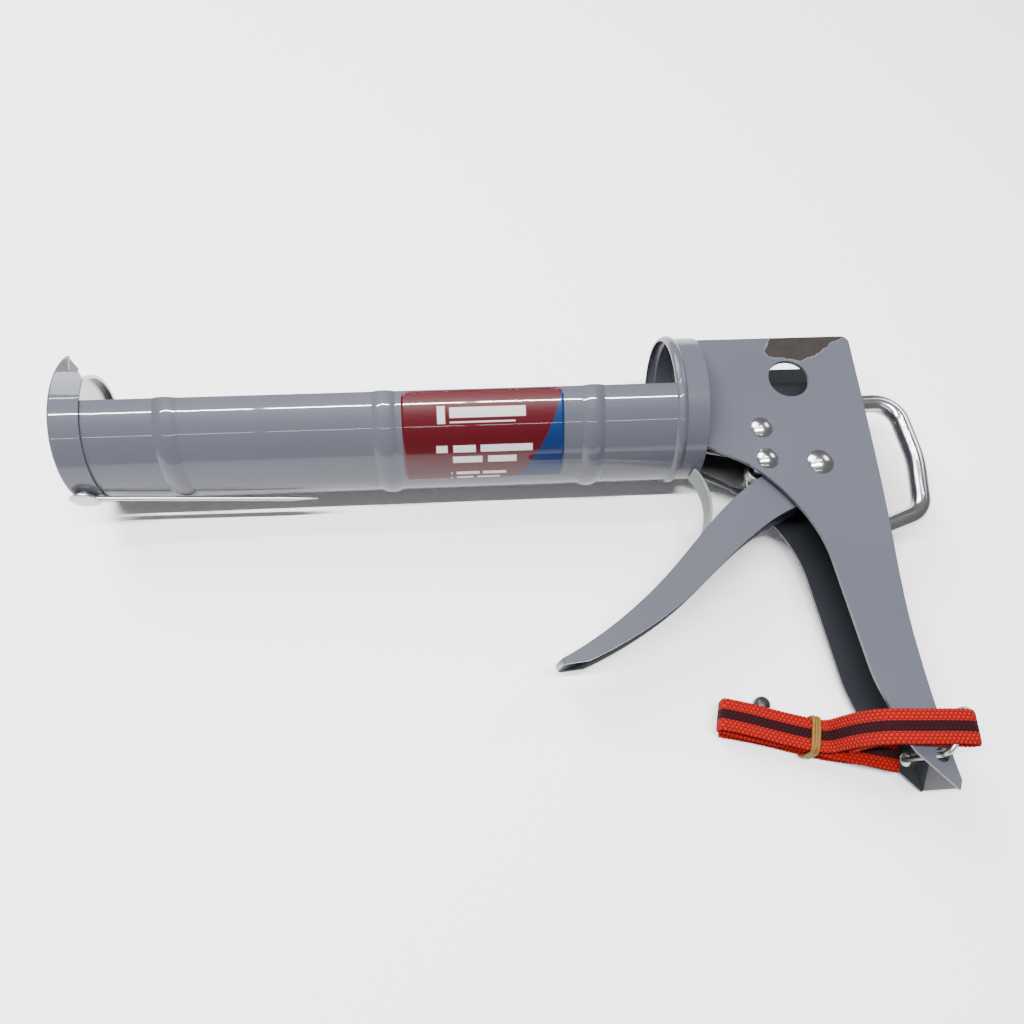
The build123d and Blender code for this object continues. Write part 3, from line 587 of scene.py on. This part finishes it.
# The strap's route, in mm over the surface: the loop's points are on one line, the hank's on another.
LOOP_PLACE, LOOP_TURN = (31.4, -123.0), radians(-5.5)
HANK_PLACE, HANK_TURN = (-6.0, -113.0), radians(-15.3)
LOOP_POINTS = [(7.2, 10.6), (9.0, 20.0), (13.0, 28.2), (20.0, 29.6), (31.0, 29.4), (39.6, 28.6),
               (39.6, 33.4), (31.0, 33.9), (20.0, 33.6), (11.0, 32.0), (5.6, 25.0), (2.4, 16.0), (0.6, 12.0)]
HANK_POINTS = [(36.0, 11.0), (28.0, 11.1), (20.0, 10.8), (12.0, 11.1), (6.0, 10.9), (3.2, 11.0), (3.0, 8.6),
               (2.8, 6.3), (7.0, 6.2), (16.0, 6.3), (28.0, 6.0), (39.0, 6.2), (47.0, 7.0), (54.0, 8.6),
               (60.0, 8.7), (63.9, 8.7), (63.9, 5.8), (58.0, 5.7), (52.0, 5.7), (46.0, 3.2), (40.0, 1.8),
               (28.0, 1.75), (16.0, 1.7), (10.0, 1.7), (4.6, 1.7)]


def along_line(place, turn, points):
    return [(place[0] + s * cos(turn), place[1] + s * sin(turn), z) for s, z in points]


class MakeStrap(bpy.types.Operator):
    """Lay the webbing: up from the hank, round the lanyard ring, back, and folded in the hank"""
    bl_idname = "caulking_gun.strap"
    bl_label = "Strap"

    def execute(self, context):
        """A flat outline carried along the route. Its half thickness falls at the edges as the root of
        1 minus the width's 14th power. A sine of the length swells its width, and two slow sines drift it
        sideways."""
        settings = context.scene.gun_strap
        route = along_line(LOOP_PLACE, LOOP_TURN, LOOP_POINTS) + along_line(HANK_PLACE, HANK_TURN, HANK_POINTS)
        line = spline_line([tuple(point) for point in from_surface(route)])
        share = np.concatenate([[0], np.cumsum(np.linalg.norm(np.diff(line, axis=0), axis=1))])
        joint = share[np.linalg.norm(line - from_surface(route[len(LOOP_POINTS)]), axis=1).argmin()]
        ease = np.clip((share - joint + 8 * MM) / (12 * MM), 0, 1)
        turn = LOOP_TURN + (HANK_TURN - LOOP_TURN) * ease * ease * (3 - 2 * ease)
        side = np.stack([-np.sin(turn), np.cos(turn), np.zeros_like(turn)], -1)
        ahead = directions(line)
        side -= ahead * np.sum(side * ahead, axis=1, keepdims=True)
        side /= np.linalg.norm(side, axis=1, keepdims=True)
        top = np.cross(ahead, side)
        drift = 0.25 * MM * np.sin(share / (17 * MM)) + 0.2 * MM * np.sin(share / (6.3 * MM))
        path = line + side * drift[:, None]
        half, thick = settings.width / 2, settings.thickness / 2
        across = np.concatenate([np.linspace(-1, 1, 15), np.linspace(1, -1, 15)])
        level = np.concatenate([np.ones(15), -np.ones(15)])
        level *= np.sqrt(np.clip(1 - np.abs(across) ** 14, 0.12, 1))
        scallop = 1 + 0.018 * np.sin(share * 2 * np.pi / (1.25 * MM))
        outline = np.stack([across * half, level * thick], -1)
        points = carried(path, side * scallop[:, None], top, outline)
        uv = np.stack([np.repeat(share[:, None], 30, 1), np.repeat(across[None, :], len(path), 0)], -1)
        made = surface("strap", points, webbing(), closed_columns=True, uv=uv, caps=True)
        finish_piece(made, "gun_body", "webbing", "strap_hank", "strap_loop")
        return {"FINISHED"}


# Rubber band, in mm: the loop's half width, half height and middle over the surface, and each strand's
# place along the hank with its lean. The power squares the loop's corners.
BAND_HALF_WIDTH, BAND_HALF_HEIGHT, BAND_MIDDLE, BAND_SQUARENESS = 6.3, 5.75, 6.55, 0.42
BAND_STRANDS = ((33.6, 1.1), (34.6, -0.9), (35.2, 0.4))


class MakeBand(bpy.types.Operator):
    """Stretch the rubber band round the folded strap"""
    bl_idname = "caulking_gun.band"
    bl_label = "Rubber band"

    def execute(self, context):
        """Superellipses: half width and half height times the cosine and sine raised to one power with their
        signs kept, and a lean along the hank that follows the sine."""
        settings = context.scene.gun_strap
        turn = np.linspace(0, 2 * np.pi, 120, endpoint=False)
        wide = BAND_HALF_WIDTH * np.sign(np.cos(turn)) * np.abs(np.cos(turn)) ** BAND_SQUARENESS
        tall = BAND_HALF_HEIGHT * np.sign(np.sin(turn)) * np.abs(np.sin(turn)) ** BAND_SQUARENESS
        tall = BAND_MIDDLE + tall
        rubber = tan_rubber()
        strands = []
        for start, lean in BAND_STRANDS:
            along = start + lean * np.sin(turn)
            x = HANK_PLACE[0] + along * cos(HANK_TURN) - wide * sin(HANK_TURN)
            y = HANK_PLACE[1] + along * sin(HANK_TURN) + wide * cos(HANK_TURN)
            path = from_surface(np.stack([x, y, tall], -1))
            strands.append(tube("strand", path, settings.band, rubber, closed=True))
        with context.temp_override(active_object=strands[0], selected_editable_objects=strands):
            bpy.ops.object.join()
        made = strands[0]
        made.name = "rubber_band_strands"
        finish_piece(made, "gun_body", "band_rubber", "rubber_band")
        return {"FINISHED"}


class MakeToggle(bpy.types.Operator):
    """Turn the small black bead of the strap"""
    bl_idname = "caulking_gun.toggle"
    bl_label = "Toggle"

    def execute(self, context):
        """A turned shape: height is the sine of an even angle, and girth the root of 1 minus the height's
        3.2th power."""
        centre, half = middle("strap_toggle")
        height = np.sin(np.linspace(-np.pi / 2, np.pi / 2, 40))
        girth = np.clip(1 - np.abs(height) ** 3.2, 0.0009, 1) ** 0.5
        turn = np.linspace(0, 2 * np.pi, 28, endpoint=False)
        around = np.stack([np.cos(turn), np.sin(turn), np.zeros_like(turn)], -1)
        upward = height[:, None, None] * np.array([0, 0, 1.0])
        points = centre + half * (around[None] * girth[:, None, None] + upward)
        made = surface("toggle_bead", points, black_plastic(), closed_columns=True, caps=True)
        finish_piece(made, "gun_body", "toggle_plastic", "strap_toggle")
        return {"FINISHED"}


# Rows of tube lamps over the barrel: angle round its axis, width and power. Then each tube's start and
# length.
TUBE_DISTANCE = 0.9
TUBE_ROWS = ((13.0, 0.012, 9.0), (-11.0, 0.006, 1.8), (48.0, 0.006, 0.3))
TUBE_SPANS = ((-0.62, 0.30), (-0.30, 0.28), (0.00, 0.30))


class MakeStage(bpy.types.Operator):
    """Set the floor, the lamps and the camera"""
    bl_idname = "caulking_gun.stage"
    bl_label = "Stage"

    def lamp(self, name, place, aim, size, power):
        data = bpy.data.lights.new(name, "AREA")
        data.shape = "RECTANGLE"
        data.size, data.size_y = size
        data.energy = power
        lamp = bpy.data.objects.new(name, data)
        lamp.location = place
        lamp.rotation_euler = (Vector(place) - Vector(aim)).to_track_quat("Z", "Y").to_euler()
        bpy.context.scene.collection.objects.link(lamp)

    def execute(self, context):
        scene = context.scene
        floor = surface("floor", np.array([[(-3, -3, 0), (3, -3, 0)], [(-3, 3, 0), (3, 3, 0)]], float),
                        Finish("floor", Roughness=0.9).set(Base_Color=(0.86, 0.86, 0.86, 1)))
        floor.location.z = -0.0002
        world = bpy.data.worlds.new("studio")
        world.use_nodes = True
        world.node_tree.nodes["Background"].inputs["Color"].default_value = (1, 1, 1, 1)
        world.node_tree.nodes["Background"].inputs["Strength"].default_value = 0.27
        scene.world = world
        self.lamp("softbox", (-0.55, 0.85, 0.95), (0, 0, 0), (0.8, 0.8), 34.0)
        self.lamp("fill", (1.00, 0.60, 0.80), (0, 0, 0), (0.5, 0.5), 5.0)
        for angle, width, power in TUBE_ROWS:
            for start, length in TUBE_SPANS:
                aim = (start + length / 2, AXIS[1], AXIS[2])
                away, up = TUBE_DISTANCE * sin(radians(angle)), TUBE_DISTANCE * cos(radians(angle))
                place = (aim[0], aim[1] - away, aim[2] + up)
                self.lamp("tube lamp", place, aim, (length, width), power)
        camera = bpy.data.objects.new("camera", bpy.data.cameras.new("camera"))
        camera.data.lens = 27.82
        camera.data.clip_start = 0.01
        camera.location = (-0.01545, -0.11312, 0.28094)
        camera.rotation_euler = Euler((radians(27.173), radians(-1.681), radians(-3.298)))
        scene.collection.objects.link(camera)
        scene.camera = camera
        return {"FINISHED"}


class GunPanel(bpy.types.Panel):
    """Sidebar panel with the gun's pieces"""
    bl_idname = "VIEW3D_PT_caulking_gun"
    bl_label = "Caulking gun"
    bl_space_type = "VIEW_3D"
    bl_region_type = "UI"
    bl_category = "Caulking gun"

    def draw(self, context):
        for settings in (context.scene.gun_paint, context.scene.gun_label, context.scene.gun_strap):
            for key in settings.bl_rna.properties.keys():
                if key not in ("rna_type", "name"):
                    self.layout.prop(settings, key)
        for operator in OPERATORS:
            self.layout.operator(operator.bl_idname)


SETTINGS = (GunPaintSettings, GunLabelSettings, GunStrapSettings)
OPERATORS = (MakeStage, MakeFinishes, MakeLabel, MakeReturnSpring, MakePawlSprings, MakeBand, MakeToggle,
             MakeStrap)


def register():
    for item in (*SETTINGS, *OPERATORS, GunPanel):
        bpy.utils.register_class(item)
    bpy.types.Scene.gun_paint = bpy.props.PointerProperty(type=GunPaintSettings)
    bpy.types.Scene.gun_label = bpy.props.PointerProperty(type=GunLabelSettings)
    bpy.types.Scene.gun_strap = bpy.props.PointerProperty(type=GunStrapSettings)


def unregister():
    for item in (GunPanel, *reversed(OPERATORS), *reversed(SETTINGS)):
        bpy.utils.unregister_class(item)
    del bpy.types.Scene.gun_paint, bpy.types.Scene.gun_label, bpy.types.Scene.gun_strap


def main():
    register()
    for operator in OPERATORS:
        group, name = operator.bl_idname.split(".")
        getattr(getattr(bpy.ops, group), name)()


if __name__ == "__main__":
    main()
